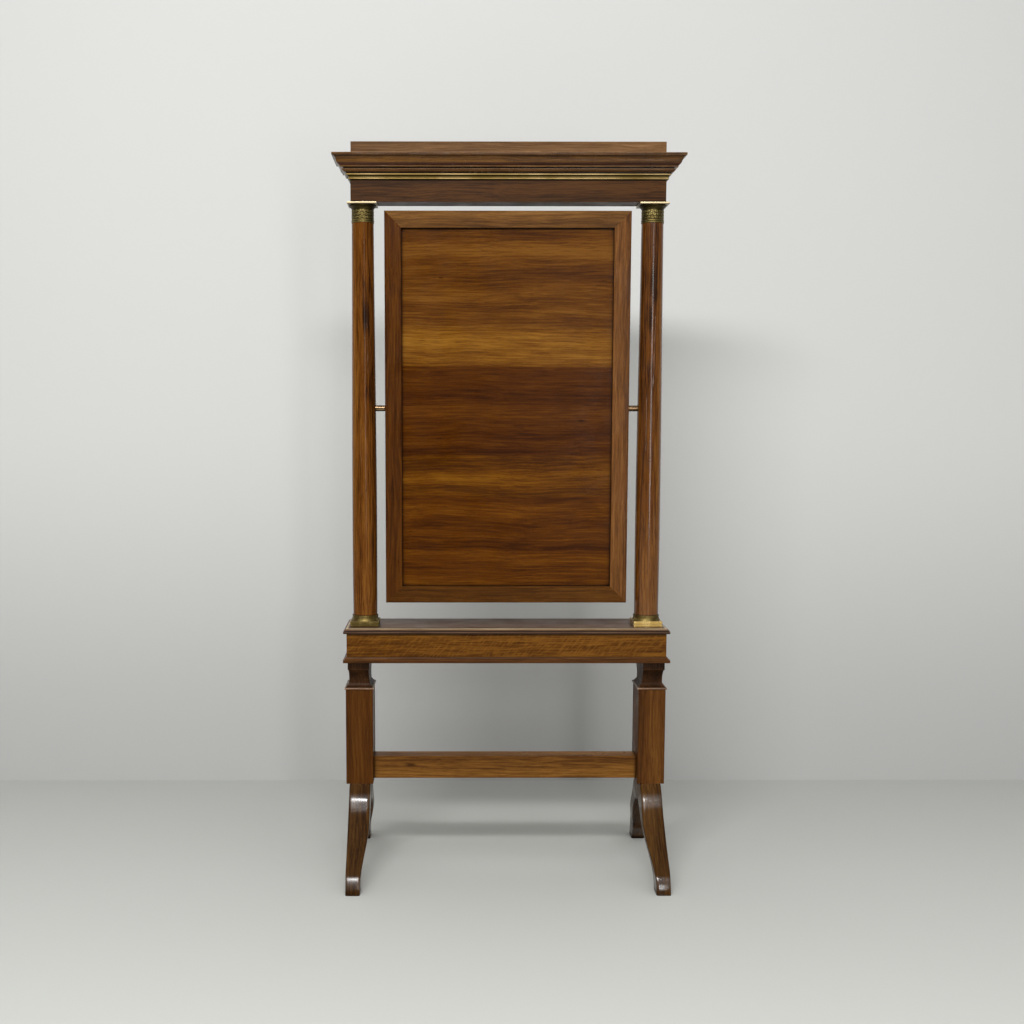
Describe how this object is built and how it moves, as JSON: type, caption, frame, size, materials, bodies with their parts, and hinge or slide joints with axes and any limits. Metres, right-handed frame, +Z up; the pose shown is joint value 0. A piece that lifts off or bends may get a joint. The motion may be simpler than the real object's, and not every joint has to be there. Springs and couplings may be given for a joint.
{
  "type": "dressing mirror with drawer",
  "caption": "Free-standing dressing mirror: framed glass tilting between brass-mounted columns under a cornice, on a shallow drawer case with posts, stretcher and sabre legs.",
  "frame": {"origin": "on the floor, midway between the four feet", "axes": "+Z up, +Y towards the user, the side of the glass and the drawer, +X to the right seen from behind the mirror, as in the picture"},
  "size_m": [0.912, 0.504, 1.95],
  "materials": {
    "entablature_wood": "dark reddish-brown mahogany veneer, French polished",
    "column_wood": "turned dark mahogany, French polished",
    "case_wood": "figured golden-brown mahogany veneer, polished",
    "stand_wood": "worn brown mahogany, polished",
    "frame_wood": "brown mahogany, polished",
    "panel_wood": "old brown softwood board, worn",
    "drawer_wood": "plain pale lining wood",
    "brass": "aged, partly polished brass",
    "mirror_glass": "silvered flat glass"
  },
  "bodies": {
    "stand": {"attic_block": "entablature_wood", "cornice_board": "entablature_wood", "cornice_moulding_front": "entablature_wood", "cornice_moulding_rear": "entablature_wood", "cornice_moulding_left": "entablature_wood", "cornice_moulding_right": "entablature_wood", "brass_strip_front": "brass", "brass_strip_rear": "brass", "brass_strip_left": "brass", "brass_strip_right": "brass", "frieze_beam": "entablature_wood", "abacus_left": "brass", "abacus_right": "brass", "capital_left": "brass", "capital_right": "brass", "column_left": "column_wood", "column_right": "column_wood", "base_ring_left": "brass", "base_ring_right": "brass", "plinth_left": "brass", "plinth_right": "brass", "top_board": "case_wood", "end_block_left": "case_wood", "end_block_right": "case_wood", "rear_board": "case_wood", "base_board": "case_wood", "drawer_runners": "drawer_wood", "drawer_stops": "drawer_wood", "neck_left": "stand_wood", "neck_right": "stand_wood", "post_cap_left": "stand_wood", "post_cap_right": "stand_wood", "post_left": "stand_wood", "post_right": "stand_wood", "leg_front_left": "stand_wood", "leg_front_right": "stand_wood", "leg_rear_left": "stand_wood", "leg_rear_right": "stand_wood", "stretcher": "stand_wood", "pivot_pin_left": "brass", "pivot_pin_right": "brass"},
    "mirror": {"mirror_stile_left": "frame_wood", "mirror_stile_right": "frame_wood", "mirror_rail_top": "frame_wood", "mirror_rail_bottom": "frame_wood", "mirror_panel": "panel_wood", "mirror_glass": "mirror_glass", "glass_beads": "frame_wood", "pivot_bush_left": "brass", "pivot_bush_right": "brass", "pivot_screws": "brass"},
    "drawer": {"drawer_front": "case_wood", "drawer_side_left": "drawer_wood", "drawer_side_right": "drawer_wood", "drawer_back": "drawer_wood", "drawer_floor": "drawer_wood", "drawer_knob_left": "brass", "drawer_knob_right": "brass", "knob_nuts": "brass"}
  },
  "joints": [
    {"name": "mirror_turn", "type": "hinge", "parent": "stand", "child": "mirror", "pos_m": [0, -0.03, 1.2635], "axis": [1, 0, 0], "continuous": true},
    {"name": "drawer_slide", "type": "slide", "parent": "stand", "child": "drawer", "axis": [0, 1, 0], "range_m": [0, 0.11]}
  ]
}
